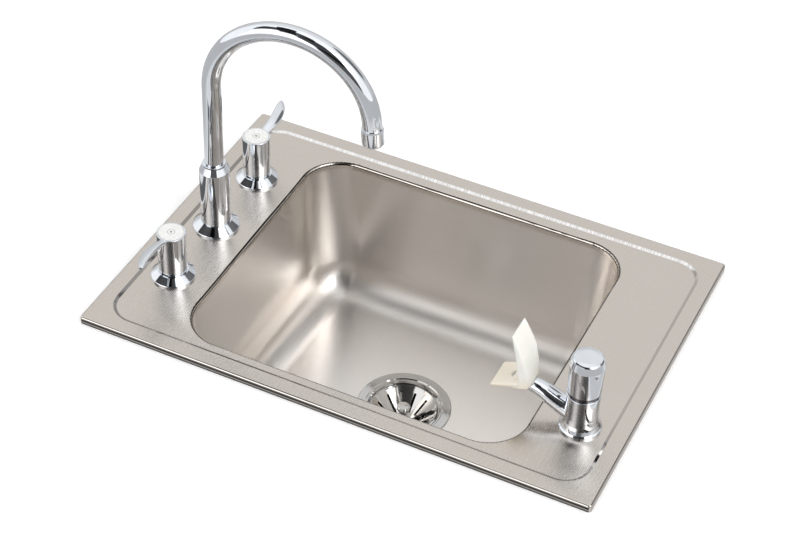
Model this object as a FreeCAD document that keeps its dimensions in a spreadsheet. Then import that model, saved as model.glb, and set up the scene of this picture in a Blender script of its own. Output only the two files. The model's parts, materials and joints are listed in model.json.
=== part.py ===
import FreeCAD, Part
import Sketcher
import math
import os

# Drop-in sink with gooseneck tap, push bubbler and basket drain.
# Origin: centre of the rim on the counter plane. X runs to the bubbler end, Y to the back, Z up.
# Lengths in millimetres, angles in degrees.

SIZES = {
    # rim and deck
    "rim_length": 644.0,
    "rim_width": 446.0,
    "rim_height": 9.5,
    "rim_corner": 3.8,
    "rim_round": 2.5,
    "gauge": 1.2,
    "deck_drop": 2.0,
    "bead_drop": 1.9,
    "bead_run": 3.8,
    "bead_inset": 23.3,
    "bead_corner": 30.0,
    # bowl
    "end_deck": 110.0,
    "front_deck": 35.4,
    "back_deck": 38.6,
    "bowl_depth": 196.0,
    "bowl_corner": 51.0,
    "bowl_draft": 3.0,
    "bowl_cove": 46.0,
    "bowl_lip": 4.0,
    # places of the fittings on the deck
    "tap_inset": 58.0,
    "tap_spacing": 104.0,
    "bubbler_inset": 57.5,
    "bubbler_front_inset": 110.8,
    # clearances
    "slide_gap": 0.4,
    "shaft_gap": 0.08,
    "hole_gap": 3.0,
    # clip rails under the deck
    "rail_width": 6.0,
    "rail_height": 10.0,
    "rail_wall": 1.1,
    "rail_slot": 2.4,
    "long_rail_inset": 112.0,
    "short_rail_inset": 103.0,
    "clip_plate": 1.6,
    "clip_drop": 34.0,
    "clip_reach": 22.0,
    "clip_breadth": 16.0,
    "clip_screw_r": 2.5,
    "clip_screw_length": 30.0,
    # drain
    "drain_flange_r": 60.0,
    "drain_flange_edge": 1.8,
    "drain_step_r": 49.5,
    "drain_cup_r": 46.5,
    "drain_cup_depth": 44.0,
    "drain_wall": 1.6,
    "drain_neck_r": 24.0,
    "drain_neck_length": 26.0,
    "gasket_thick": 3.0,
    "washer_thick": 1.2,
    "drain_nut_r": 58.0,
    "drain_nut_height": 11.0,
    "basket_seat_drop": 4.5,
    "basket_seat_r": 41.2,
    "basket_rim_r": 43.6,
    "basket_depth": 30.0,
    "basket_floor_r": 13.0,
    "basket_wall": 1.2,
    "basket_slots": 12,
    "basket_slot_width": 3.2,
    "knob_r": 8.5,
    "post_r": 4.0,
    "stopper_r": 24.0,
    "tail_r": 19.05,
    "tail_wall": 1.2,
    "tail_length": 110.0,
    "slip_nut_r": 31.0,
    "slip_nut_height": 18.0,
    # tap body under the deck
    "shank_r": 13.5,
    "shank_rise": 14.0,
    "post_top": 62.0,
    "valve_rise": 6.0,
    "valve_depth": 30.0,
    "shoulder_r": 23.0,
    "bridge_drop": 46.0,
    "bridge_depth": 24.0,
    "bridge_width": 26.0,
    "inlet_r": 10.4,
    "inlet_length": 48.0,
    "water_way_r": 6.0,
    "locknut_r": 20.0,
    "locknut_height": 5.0,
    # gooseneck
    "spout_flange_r": 29.0,
    "spout_flange_height": 11.0,
    "flange_edge": 2.8,
    "flange_wall": 1.6,
    "sleeve_r": 18.5,
    "sleeve_top": 88.5,
    "sleeve_neck_r": 14.6,
    "sleeve_neck_top": 96.8,
    "tube_r": 11.6,
    "tube_wall": 1.4,
    "tube_foot": 24.0,
    "tube_straight": 213.0,
    "arch_r": 101.6,
    "arch_sweep": 176.0,
    "tube_tail": 15.0,
    "spout_turn": 3.6,
    "ring_r": 14.2,
    "ring_height": 2.4,
    "aerator_r": 13.2,
    "aerator_length": 23.0,
    "aerator_lap": 11.0,
    "o_ring_r": 1.3,
    # handles
    "handle_flange_r": 27.0,
    "handle_flange_height": 9.6,
    "hub_foot_r": 16.6,
    "hub_r": 17.5,
    "hub_top": 66.5,
    "cap_r": 15.2,
    "handle_web": 2.0,
    "cap_ring_r": 4.4,
    "cap_dot_r": 1.3,
    "cap_thick": 2.6,
    "cap_proud": 0.6,
    "hub_bore": 12.5,
    "socket_foot": 46.0,
    "stem_r": 4.9,
    "stem_top": 60.0,
    "cartridge_r": 9.0,
    "handle_screw_r": 2.0,
    "handle_screw_head_r": 4.0,
    "lever_reach": 75.0,
    "lever_bow": 3.8,
    "lever_rise": 8.6,
    "lever_drop": 5.5,
    "lever_half_width": 7.2,
    "lever_half_thick": 3.0,
    "lever_twist": 20.0,
    # bubbler
    "base_r": 24.6,
    "lower_r": 19.4,
    "lower_top": 51.5,
    "base_edge": 2.4,
    "chamber_r": 14.0,
    "chamber_floor": 12.0,
    "bubbler_shank_r": 12.6,
    "bubbler_shank_length": 40.0,
    "bubbler_inlet_r": 9.5,
    "bubbler_inlet_length": 24.0,
    "neck_r": 18.0,
    "neck_top": 59.0,
    "push_cap_foot": 57.5,
    "push_cap_foot_r": 19.4,
    "push_cap_r": 20.3,
    "push_cap_edge": 95.0,
    "push_cap_top": 103.0,
    "push_disc_r": 17.5,
    "push_travel": 4.0,
    "plunger_r": 4.9,
    "plunger_foot": 22.0,
    "guide_r": 8.5,
    "guide_top": 84.0,
    "spring_r": 11.0,
    "spring_wire_r": 0.8,
    "set_screw_r": 2.3,
    "set_screw_angle": -39.0,
    "set_screw_height": 91.0,
    "arm_height": 17.5,
    "arm_reach": 90.0,
    "arm_rise": 20.0,
    "arm_half_width": 12.0,
    "arm_half_height": 12.0,
    "bubbler_nut_r": 21.0,
    "bubbler_nut_thick": 7.0,
    "nozzle_root_back": 32.0,
    "nozzle_root_height": 36.0,
    "nozzle_length": 25.0,
    "nozzle_way_r": 2.6,
    "nozzle_r": 6.0,
    "nozzle_tilt": 24.0,
    "guard_width": 41.0,
    "guard_tip_width": 35.0,
    "guard_lip_out": 13.5,
    "guard_lip_height": 35.0,
    "guard_root_back": 19.5,
    "guard_root_height": 48.5,
    "guard_tip_back": 5.4,
    "guard_tip_height": 113.0,
    "guard_heel_back": 32.4,
}

doc = FreeCAD.newDocument("drop_in_sink")
sheet = doc.addObject("Spreadsheet::Sheet", "Sizes")
for row, (alias, amount) in enumerate(SIZES.items(), start=1):
    sheet.set("A%d" % row, alias)
    sheet.set("B%d" % row, str(amount))
    sheet.setAlias("B%d" % row, alias)
doc.recompute()

V = FreeCAD.Vector

# Distance within which an edge counts as lying at a given place.
PICK = 0.05


class Dim:
    # A length kept as a number and as the sheet expression that drives it.
    def __init__(self, text, number):
        self.text = text
        self.number = number

    def __add__(self, other):
        other = as_dim(other)
        return Dim("(%s + %s)" % (self.text, other.text), self.number + other.number)

    def __sub__(self, other):
        other = as_dim(other)
        return Dim("(%s - %s)" % (self.text, other.text), self.number - other.number)

    def __mul__(self, other):
        other = as_dim(other)
        return Dim("(%s * %s)" % (self.text, other.text), self.number * other.number)

    def __truediv__(self, other):
        other = as_dim(other)
        return Dim("(%s / %s)" % (self.text, other.text), self.number / other.number)

    def __neg__(self):
        return Dim("(0 - %s)" % self.text, -self.number)

    def __radd__(self, other):
        return as_dim(other) + self

    def __rsub__(self, other):
        return as_dim(other) - self

    def __rmul__(self, other):
        return as_dim(other) * self


def as_dim(amount):
    if isinstance(amount, Dim):
        return amount
    if amount < 0:
        return Dim("(0 - %s)" % repr(-float(amount)), float(amount))
    return Dim(repr(float(amount)), float(amount))


def size(alias):
    return Dim("Sizes.%s" % alias, SIZES[alias])


def cosine(angle):
    return Dim("cos(%s)" % angle.text, math.cos(math.radians(angle.number)))


def sine(angle):
    return Dim("sin(%s)" % angle.text, math.sin(math.radians(angle.number)))


def bind(obj, prop, amount):
    obj.setExpression(prop, as_dim(amount).text)


def place(obj, x=0.0, y=0.0, z=0.0, axis=None, angle=0.0):
    if axis is not None:
        obj.Placement = FreeCAD.Placement(V(0, 0, 0), FreeCAD.Rotation(V(*axis), 90))
        bind(obj, "Placement.Rotation.Angle", angle)
    bind(obj, "Placement.Base.x", x)
    bind(obj, "Placement.Base.y", y)
    bind(obj, "Placement.Base.z", z)
    return obj


def origin_plane(body, role):
    for feature in body.Origin.OriginFeatures:
        if feature.Role == role:
            return feature


def polygon(body, role, points):
    # Closed outline on an origin plane; every corner is driven by the sheet.
    sketch = body.newObject("Sketcher::SketchObject", body.Name + "_outline")
    sketch.AttachmentSupport = [(origin_plane(body, role), "")]
    sketch.MapMode = "FlatFace"
    corners = [(as_dim(across), as_dim(up)) for across, up in points]
    count = len(corners)
    for index in range(count):
        start = corners[index]
        end = corners[(index + 1) % count]
        first = V(start[0].number, start[1].number, 0)
        second = V(end[0].number, end[1].number, 0)
        sketch.addGeometry(Part.LineSegment(first, second))
    for index in range(count):
        sketch.addConstraint(Sketcher.Constraint("Coincident", index, 2, (index + 1) % count, 1))
    for index, (across, up) in enumerate(corners):
        for kind, axis_line, amount in (("DistanceX", -2, across), ("DistanceY", -1, up)):
            if amount.number == 0:
                sketch.addConstraint(Sketcher.Constraint("PointOnObject", index, 1, axis_line))
            else:
                row = sketch.addConstraint(Sketcher.Constraint(kind, -1, 1, index, 1, amount.number))
                sketch.setExpression("Constraints[%d]" % row, amount.text)
    return sketch


def turned(name, points):
    # Body of revolution about Z from corners given as radius and height.
    body = doc.addObject("PartDesign::Body", name)
    sketch = polygon(body, "XZ_Plane", points)
    spin = body.newObject("PartDesign::Revolution", name + "_turn")
    spin.Profile = sketch
    spin.ReferenceAxis = (sketch, ["V_Axis"])
    spin.Angle = 360
    doc.recompute()
    return body


def soften(body, picks, radius):
    # Round the circular edges of a turned body picked by radius and height.
    tip = body.Tip
    wanted = [(as_dim(r).number, as_dim(z).number) for r, z in picks]
    names = []
    for number, edge in enumerate(tip.Shape.Edges, start=1):
        if edge.Curve.TypeId != "Part::GeomCircle":
            continue
        for r, z in wanted:
            if abs(edge.Curve.Radius - r) < 1e-4 and abs(edge.Curve.Center.z - z) < 1e-4:
                names.append("Edge%d" % number)
    rounding = body.newObject("PartDesign::Fillet", body.Name + "_soft")
    rounding.Base = (tip, names)
    bind(rounding, "Radius", radius)
    doc.recompute()
    return body


def lies_at(edge, height):
    # True where both ends of the edge are at the given height.
    return all(abs(vertex.Z - height) < PICK for vertex in edge.Vertexes)


def slab(name, length, width, height, corner, draft=None, floor=None):
    # Rectangular pad centred on the axis with rounded upright edges, a draft and a rounded floor edge.
    body = doc.addObject("PartDesign::Body", name)
    half_l = as_dim(length) / 2
    half_w = as_dim(width) / 2
    outline = [(-half_l, -half_w), (half_l, -half_w), (half_l, half_w), (-half_l, half_w)]
    sketch = polygon(body, "XY_Plane", outline)
    pad = body.newObject("PartDesign::Pad", name + "_pad")
    pad.Profile = sketch
    bind(pad, "Length", height)
    if draft is not None:
        pad.Reversed = True
        bind(pad, "TaperAngle", -draft)
    doc.recompute()
    upright = []
    for number, edge in enumerate(pad.Shape.Edges, start=1):
        box = edge.BoundBox
        if box.ZLength > 0.5 * as_dim(height).number:
            upright.append("Edge%d" % number)
    rounding = body.newObject("PartDesign::Fillet", name + "_corners")
    rounding.Base = (pad, upright)
    bind(rounding, "Radius", corner)
    doc.recompute()
    if floor is not None:
        low = min(vertex.Z for vertex in rounding.Shape.Vertexes)
        names = []
        for number, edge in enumerate(rounding.Shape.Edges, start=1):
            if lies_at(edge, low):
                names.append("Edge%d" % number)
        cove = body.newObject("PartDesign::Fillet", name + "_cove")
        cove.Base = (rounding, names)
        bind(cove, "Radius", floor)
        doc.recompute()
    return body


def padded(name, role, points, length):
    # Straight pad of a closed outline, half to each side of its plane.
    body = doc.addObject("PartDesign::Body", name)
    sketch = polygon(body, role, points)
    pad = body.newObject("PartDesign::Pad", name + "_pad")
    pad.Profile = sketch
    pad.SideType = "Symmetric"
    bind(pad, "Length", length)
    doc.recompute()
    return body


def rod(name, radius, height, x=0.0, y=0.0, z=0.0, axis=None, angle=0.0):
    piece = doc.addObject("Part::Cylinder", name)
    bind(piece, "Radius", radius)
    bind(piece, "Height", height)
    return place(piece, x, y, z, axis, angle)


def block(name, length, width, height, x, y, z):
    # Box centred on x and y with its floor at z.
    piece = doc.addObject("Part::Box", name)
    bind(piece, "Length", length)
    bind(piece, "Width", width)
    bind(piece, "Height", height)
    return place(piece, as_dim(x) - as_dim(length) / 2, as_dim(y) - as_dim(width) / 2, z)


def hexagon(name, across, height, z=0.0):
    piece = doc.addObject("Part::Prism", name)
    piece.Polygon = 6
    bind(piece, "Circumradius", across)
    bind(piece, "Height", height)
    return place(piece, 0, 0, z)


def cut(name, base, *tools):
    piece = base
    for number, tool in enumerate(tools, start=1):
        result = doc.addObject("Part::Cut", "%s_%d" % (name, number))
        result.Base = piece
        result.Tool = tool
        piece = result
    doc.recompute()
    return piece


def fuse(name, *pieces):
    result = doc.addObject("Part::MultiFuse", name)
    result.Shapes = list(pieces)
    doc.recompute()
    return result


def common(name, base, tool):
    result = doc.addObject("Part::Common", name)
    result.Base = base
    result.Tool = tool
    doc.recompute()
    return result


def group(name, *pieces):
    result = doc.addObject("Part::Compound", name)
    result.Links = list(pieces)
    doc.recompute()
    return result


def round_edges(name, base, radius, chosen):
    # Part fillet on the edges for which the chooser answers true.
    result = doc.addObject("Part::Fillet", name)
    result.Base = base
    amount = as_dim(radius).number
    edges = []
    for number, edge in enumerate(base.Shape.Edges, start=1):
        if chosen(edge):
            edges.append((number, amount, amount))
    result.Edges = edges
    doc.recompute()
    return result


def bevel_edges(name, base, run, drop, chosen):
    # Part chamfer with a leg on each face, on the edges for which the chooser answers true.
    result = doc.addObject("Part::Chamfer", name)
    result.Base = base
    edges = []
    for number, edge in enumerate(base.Shape.Edges, start=1):
        if chosen(edge):
            edges.append((number, as_dim(run).number, as_dim(drop).number))
    result.Edges = edges
    doc.recompute()
    return result


def oval(name, half_width, half_height, x, y, z, across, twist=0.0):
    # Ellipse standing upright; across tells the axis its width lies on, twist turns it about the other.
    curve = doc.addObject("Part::Ellipse", name)
    bind(curve, "MajorRadius", half_width)
    bind(curve, "MinorRadius", half_height)
    if across == "X":
        turn = FreeCAD.Rotation(V(0, 1, 0), twist).multiply(FreeCAD.Rotation(V(1, 0, 0), 90))
        curve.Placement = FreeCAD.Placement(V(0, 0, 0), turn)
    else:
        turn = FreeCAD.Rotation(V(0, 1, 0), V(0, 0, 1), V(1, 0, 0), "XYZ")
        curve.Placement = FreeCAD.Placement(V(0, 0, 0), turn)
    bind(curve, "Placement.Base.x", x)
    bind(curve, "Placement.Base.y", y)
    bind(curve, "Placement.Base.z", z)
    return curve


def loft(name, sections):
    result = doc.addObject("Part::Loft", name)
    result.Sections = sections
    result.Solid = True
    result.Ruled = False
    doc.recompute()
    return result


nodes = []


def node(label, obj):
    obj.Label = label
    nodes.append(obj)
    return obj


gauge = size("gauge")
rim_length = size("rim_length")
rim_width = size("rim_width")
rim_height = size("rim_height")
bowl_length = rim_length - 2 * size("end_deck")
bowl_width = rim_width - size("front_deck") - size("back_deck")
bowl_shift = (size("front_deck") - size("back_deck")) / 2
slide_gap = size("slide_gap")
hole_gap = size("hole_gap")
tap_x = size("tap_inset") - rim_length / 2
tap_spacing = size("tap_spacing")
bubbler_x = rim_length / 2 - size("bubbler_inset")
bubbler_y = size("bubbler_front_inset") - rim_width / 2
shank_r = size("shank_r")
deck_z = rim_height - size("deck_drop")
deck_under = deck_z - gauge
floor_z = deck_z - size("bowl_depth")
floor_under = floor_z - gauge
front_y = bowl_shift - tap_spacing
rear_y = bowl_shift + tap_spacing

# Sink pressing: rim, recessed deck panel and coved bowl in one sheet.

bead_inset = size("bead_inset")
bead_corner = size("bead_corner")
panel_length = rim_length - 2 * bead_inset
panel_width = rim_width - 2 * bead_inset
rim_solid = slab("rim_solid", rim_length, rim_width, rim_height, size("rim_corner"))
top_edges = round_edges("rim_rounded", rim_solid, size("rim_round"),
                        lambda edge: lies_at(edge, rim_height.number))
recess = place(slab("panel_recess", panel_length, panel_width, size("deck_drop") + 2, bead_corner),
               z=deck_z)
under_low = place(slab("under_low", rim_length - 2 * gauge, rim_width - 2 * gauge, deck_under + 2,
                       size("rim_corner") - gauge), z=-2)
under_ring = place(slab("under_ring", rim_length - 2 * gauge, rim_width - 2 * gauge,
                        rim_height - gauge, size("rim_corner") - gauge), z=0)
bead_run = size("bead_run")
bead_wall = bead_run + gauge
panel_core = place(slab("panel_core", panel_length + 2 * bead_wall, panel_width + 2 * bead_wall,
                        rim_height + 2, bead_corner + bead_wall), z=-1)
under_groove = cut("under_groove", under_ring, panel_core)
stepped_sheet = cut("stepped_sheet", top_edges, recess, under_low, under_groove)


def on_bead(edge):
    # True for the top edge loop of the recessed panel.
    inside_x = all(abs(vertex.X) < panel_length.number / 2 + 0.1 for vertex in edge.Vertexes)
    inside_y = all(abs(vertex.Y) < panel_width.number / 2 + 0.1 for vertex in edge.Vertexes)
    return lies_at(edge, rim_height.number) and inside_x and inside_y


deck_sheet = bevel_edges("deck_sheet", stepped_sheet, bead_run, size("bead_drop"), on_bead)
bowl_draft = size("bowl_draft")
bowl_outside = place(slab("bowl_outside", bowl_length + 2 * gauge, bowl_width + 2 * gauge,
                          size("bowl_depth") + gauge, size("bowl_corner") + gauge, bowl_draft,
                          size("bowl_cove") + gauge), y=bowl_shift, z=deck_z)
bowl_inside = place(slab("bowl_inside", bowl_length, bowl_width, size("bowl_depth"),
                         size("bowl_corner"), bowl_draft, size("bowl_cove")), y=bowl_shift, z=deck_z)
bowl_sheet = cut("bowl_sheet", fuse("deck_and_bowl", deck_sheet, bowl_outside), bowl_inside)


def on_bowl_edge(edge, height, allowance):
    # True for the edge loop round the bowl opening at the given height.
    middle = bowl_shift.number
    inside_x = all(abs(vertex.X) < bowl_length.number / 2 + allowance for vertex in edge.Vertexes)
    inside_y = all(abs(vertex.Y - middle) < bowl_width.number / 2 + allowance for vertex in edge.Vertexes)
    return lies_at(edge, height) and inside_x and inside_y


bowl_lip = size("bowl_lip")
lip_top = round_edges("lip_top", bowl_sheet, bowl_lip,
                      lambda edge: on_bowl_edge(edge, deck_z.number, 0.5))
lip_under = round_edges("lip_under", lip_top, bowl_lip - gauge,
                        lambda edge: on_bowl_edge(edge, deck_under.number, 3.0))
tap_hole_r = shank_r + hole_gap
bubbler_hole_r = size("bubbler_shank_r") + hole_gap
drain_hole_r = size("drain_cup_r") + 1
hole_length = gauge + 20
hole_z = deck_under - 10
deck_holes = [
    rod("spout_hole", tap_hole_r, hole_length, tap_x, bowl_shift, hole_z),
    rod("front_hole", tap_hole_r, hole_length, tap_x, front_y, hole_z),
    rod("rear_hole", tap_hole_r, hole_length, tap_x, rear_y, hole_z),
    rod("bubbler_hole", bubbler_hole_r, hole_length, bubbler_x, bubbler_y, hole_z),
    rod("drain_hole", drain_hole_r, hole_length, 0, bowl_shift, floor_under - 10),
]
node("sink_pressing", cut("sink_pressing", lip_under, *deck_holes))

# Clip rails welded under the deck, with hold-down clips and their screws.

rail_width = size("rail_width")
rail_height = size("rail_height")
rail_wall = size("rail_wall")
rail_slot = size("rail_slot")
rail_inset = bead_inset - bead_run + 0.3 + rail_width / 2
rail_floor = deck_under - rail_height


def rail(name, length, x, y, along_x):
    long_side = as_dim(length)
    hollow = rail_width - 2 * rail_wall
    spans = [
        (rail_width, rail_height, rail_floor),
        (hollow, rail_height - 2 * rail_wall, rail_floor + rail_wall),
        (rail_slot, rail_wall + 2, rail_floor - 1),
    ]
    solids = []
    for number, (across, tall, low) in enumerate(spans):
        reach = long_side + 2 * number
        if along_x:
            solids.append(block("%s_%d" % (name, number), reach, across, tall, x, y, low))
        else:
            solids.append(block("%s_%d" % (name, number), across, reach, tall, x, y, low))
    return node(name, cut(name + "_open", *solids))


rail_x = rim_length / 2 - rail_inset
rail_y = rim_width / 2 - rail_inset
long_rail = rim_length - 2 * size("long_rail_inset")
short_rail = rim_width - 2 * size("short_rail_inset")
rail("front_clip_rail", long_rail, 0, -rail_y, True)
rail("rear_clip_rail", long_rail, 0, rail_y, True)
rail("left_clip_rail", short_rail, -rail_x, 0, False)
rail("right_clip_rail", short_rail, rail_x, 0, False)

clip_plate = size("clip_plate")
clip_drop = size("clip_drop")
clip_reach = size("clip_reach")
clip_breadth = size("clip_breadth")
clip_screw_r = size("clip_screw_r")
head_tall = rail_height - 2 * rail_wall - 2 * slide_gap
head_wide = rail_width - 2 * rail_wall - 2 * slide_gap
clip_foot_z = rail_floor - clip_drop


def clip(name, x, y, turn):
    # T head in the rail, strap down through the slot, foot turned outward with a screw hole.
    head = block(name + "_head", head_wide, clip_breadth, head_tall, 0, 0,
                 rail_floor + rail_wall + slide_gap)
    strap = block(name + "_strap", clip_plate, clip_breadth, clip_drop + rail_wall + 1, 0, 0, clip_foot_z)
    foot = block(name + "_foot", clip_reach, clip_breadth, clip_plate,
                 clip_reach / 2 - clip_plate / 2, 0, clip_foot_z)
    body = fuse(name + "_body", head, strap, foot)
    hole = rod(name + "_hole", clip_screw_r, 10, clip_reach - 6, 0, clip_foot_z - 5)
    piece = cut(name, body, hole)
    return place(piece, x, y, 0, (0, 0, 1), turn)


def clip_screw(name, x, y, turn):
    # Shank through the foot with its point up and a hexagon head below.
    length = size("clip_screw_length")
    shank = rod(name + "_shank", clip_screw_r, length, clip_reach - 6, 0, clip_foot_z - 6)
    head = rod(name + "_head", clip_screw_r * 2, 3, clip_reach - 6, 0, clip_foot_z - 8)
    piece = fuse(name, shank, head)
    return place(piece, x, y, 0, (0, 0, 1), turn)


clip_spots = []
for share in (-0.36, 0.0, 0.36):
    clip_spots.append((long_rail * share, -rail_y, -90))
    clip_spots.append((long_rail * share, rail_y, 90))
for share in (-0.3, 0.3):
    clip_spots.append((-rail_x, short_rail * share, 180))
    clip_spots.append((rail_x, short_rail * share, 0))
clips = [clip("clip_%d" % number, *spot) for number, spot in enumerate(clip_spots)]
screws = [clip_screw("clip_screw_%d" % number, *spot) for number, spot in enumerate(clip_spots)]
node("sink_clips", group("sink_clips", *clips))
node("clip_screws", group("clip_screws", *screws))

# Drain: flanged cup through the bowl floor, seals, nut, basket and tailpiece. Heights from the bowl floor.

flange_r = size("drain_flange_r")
flange_edge = size("drain_flange_edge")
step_r = size("drain_step_r")
cup_r = size("drain_cup_r")
cup_depth = size("drain_cup_depth")
drain_wall = size("drain_wall")
drain_neck_r = size("drain_neck_r")
cup_bore = cup_r - drain_wall
neck_bore = size("tail_r") - 0.5
neck_foot = cup_depth + size("drain_neck_length")
seat_r = size("basket_seat_r")
seat_z = -size("basket_seat_drop")
cup_shape = [
    (flange_r, 0), (flange_r, flange_edge * 0.5), (flange_r - 0.9, flange_edge), (step_r, flange_edge),
    (step_r - 1.2, flange_edge * 0.3), (step_r - 3.0, flange_edge * 0.3), (cup_bore, -2.0),
    (cup_bore, seat_z), (seat_r, seat_z), (seat_r, seat_z - 10), (size("stopper_r") + 3, 3 - cup_depth),
    (neck_bore, 0 - cup_depth), (neck_bore, -neck_foot), (drain_neck_r, -neck_foot),
    (drain_neck_r, -4 - cup_depth), (size("stopper_r") + 6, -cup_depth), (cup_r - 2.5, -22.0),
    (cup_r, -19.0),
    (cup_r, 0),
]
node("drain_cup", place(turned("drain_cup", cup_shape), y=bowl_shift, z=floor_z))
gasket_thick = size("gasket_thick")
washer_thick = size("washer_thick")
drain_nut_r = size("drain_nut_r")
gasket_top = -gauge
washer_top = gasket_top - gasket_thick
nut_top = washer_top - washer_thick
nut_foot = nut_top - size("drain_nut_height")
inner_r = cup_r + 0.1


def ring(name, inside, outside, low, high):
    return turned(name, [(inside, low), (outside, low), (outside, high), (inside, high)])


node("drain_gasket", place(ring("drain_gasket", inner_r, drain_nut_r - 3, washer_top, gasket_top),
                           y=bowl_shift, z=floor_z))
node("drain_washer", place(ring("drain_washer", inner_r, drain_nut_r - 2, nut_top, washer_top),
                           y=bowl_shift, z=floor_z))
nut_ring = ring("drain_nut_ring", inner_r, drain_nut_r, nut_foot, nut_top)
lug_cuts = []
for turn in range(0, 360, 60):
    notch = rod("nut_notch_%d" % turn, 7, 30, drain_nut_r * math.cos(math.radians(turn)) * 1.04,
                drain_nut_r * math.sin(math.radians(turn)) * 1.04, nut_foot - 5)
    lug_cuts.append(notch)
node("drain_locknut", place(cut("drain_locknut", nut_ring, *lug_cuts), y=bowl_shift, z=floor_z))

basket_rim_r = size("basket_rim_r")
basket_depth = size("basket_depth")
basket_floor_r = size("basket_floor_r")
basket_wall = size("basket_wall")
post_r = size("post_r")
knob_r = size("knob_r")
basket_shape = [
    (basket_rim_r, seat_z), (basket_rim_r, seat_z + 1.5), (basket_rim_r - 2.0, seat_z + 2.3),
    (basket_rim_r - 4.0, seat_z + 0.3),
    (basket_floor_r, basket_wall - basket_depth), (post_r, basket_wall - basket_depth), (post_r, -6.0),
    (knob_r, -3.6), (knob_r, 0.4), (knob_r - 1.6, 2.0), (0, 2.6), (0, -basket_depth),
    (basket_floor_r + 0.6, -basket_depth), (basket_rim_r - 4.4, seat_z - 1.2), (basket_rim_r - 4.0, seat_z),
]
basket_solid = turned("basket_solid", basket_shape)
slot_reach = basket_rim_r - basket_floor_r - 12
slot_cuts = []
for step in range(int(SIZES["basket_slots"])):
    slot = doc.addObject("Part::Box", "basket_slot_%d" % step)
    bind(slot, "Length", slot_reach)
    bind(slot, "Width", size("basket_slot_width"))
    bind(slot, "Height", basket_depth)
    turn = 2 * math.pi * step / SIZES["basket_slots"]
    half = size("basket_slot_width") / 2
    near = basket_floor_r + 4
    place(slot, near * math.cos(turn) + half * math.sin(turn), near * math.sin(turn) - half * math.cos(turn),
          -basket_depth - 2, (0, 0, 1), math.degrees(turn))
    slot_cuts.append(slot)
node("strainer_basket", place(cut("strainer_basket", basket_solid, *slot_cuts), y=bowl_shift, z=floor_z))
stopper_r = size("stopper_r")
stopper_shape = [(0, -basket_depth), (stopper_r - 8, -basket_depth), (stopper_r, -basket_depth - 4.5),
                 (stopper_r - 1, -basket_depth - 6), (0, -basket_depth - 6)]
node("basket_stopper", place(turned("basket_stopper", stopper_shape), y=bowl_shift, z=floor_z))

tail_r = size("tail_r")
tail_wall = size("tail_wall")
tail_length = size("tail_length")
tail_top = -neck_foot
slip_nut_r = size("slip_nut_r")
slip_top = tail_top + 12
slip_foot = slip_top - size("slip_nut_height")
waste_top = slip_foot - 2
tail_foot = tail_top - tail_length
tail_bore = tail_r - tail_wall
tail_shape = [
    (tail_bore, tail_top), (drain_neck_r - 1, tail_top), (drain_neck_r - 1, tail_top - 2),
    (tail_r - 0.2, tail_top - 2), (tail_r - 0.2, waste_top), (tail_r, waste_top),
    (tail_r, tail_foot), (tail_bore, tail_foot),
]
node("tailpiece", place(turned("tailpiece", tail_shape), y=bowl_shift, z=floor_z))
slip_blank = place(hexagon("slip_blank", slip_nut_r, size("slip_nut_height")), z=slip_foot)
slip_thread = rod("slip_thread", drain_neck_r + 0.1, 40, 0, 0, tail_top - 2.2)
slip_hole = rod("slip_hole", tail_r + 0.4, 60, 0, 0, slip_foot - 10)
node("slip_nut", place(cut("slip_nut", slip_blank, slip_thread, slip_hole), y=bowl_shift, z=floor_z))

# Tap body under the deck: three shanks, a bridge between them and two inlets. Heights from the deck top.

shank_rise = size("shank_rise")
shoulder_r = size("shoulder_r")
shoulder_z = -gauge - gasket_thick
bridge_drop = size("bridge_drop")
bridge_depth = size("bridge_depth")
bridge_foot = -bridge_drop - bridge_depth / 2
water_way_r = size("water_way_r")
inlet_r = size("inlet_r")
inlet_foot = bridge_foot - size("inlet_length")
cartridge_r = size("cartridge_r")
tube_bore = size("tube_r") - size("tube_wall")
post_outer = tube_bore - slide_gap
post_top = size("post_top")
valve_rise = size("valve_rise")
valve_depth = size("valve_depth")
o_ring_r = size("o_ring_r")
groove_r = tube_bore - size("shaft_gap") - 2 * o_ring_r
groove_half = o_ring_r + 0.1
o_ring_heights = (38.0, 50.0)

bridge = block("tap_bridge", size("bridge_width"), 2 * tap_spacing, bridge_depth, 0, 0, bridge_foot)
bridge_way_r = water_way_r * 0.8
bridge_way = rod("bridge_way", bridge_way_r, 2 * tap_spacing, 0, tap_spacing, -bridge_drop, (1, 0, 0), 90)
spout_shank_shape = [
    (0, bridge_foot), (shoulder_r - 4, bridge_foot), (shoulder_r - 4, shoulder_z - 5),
    (shoulder_r, shoulder_z - 5), (shoulder_r, shoulder_z), (shank_r, shoulder_z),
    (shank_r, shank_rise), (post_outer, shank_rise),
]
for height in o_ring_heights:
    spout_shank_shape += [(post_outer, height - groove_half), (groove_r, height - groove_half),
                          (groove_r, height + groove_half), (post_outer, height + groove_half)]
spout_shank_shape += [(post_outer, post_top), (water_way_r, post_top)]
spout_shank_shape += [(water_way_r, -bridge_drop), (0, -bridge_drop)]
spout_shank = turned("spout_shank", spout_shank_shape)
valve_shank_shape = [
    (0, inlet_foot), (inlet_r, inlet_foot), (inlet_r, bridge_foot), (shoulder_r - 4, bridge_foot),
    (shoulder_r - 4, shoulder_z - 5), (shoulder_r, shoulder_z - 5), (shoulder_r, shoulder_z),
    (shank_r, shoulder_z), (shank_r, valve_rise), (cartridge_r, valve_rise), (cartridge_r, -valve_depth),
    (0, -valve_depth),
]
front_shank = place(turned("front_shank", valve_shank_shape), y=-tap_spacing)
rear_shank = place(turned("rear_shank", valve_shank_shape), y=tap_spacing)
tap_solid = fuse("tap_solid", bridge, spout_shank, front_shank, rear_shank)
valve_way = 2 - valve_depth - inlet_foot
front_way = rod("front_way", water_way_r, valve_way, 0, -tap_spacing, inlet_foot - 1)
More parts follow.
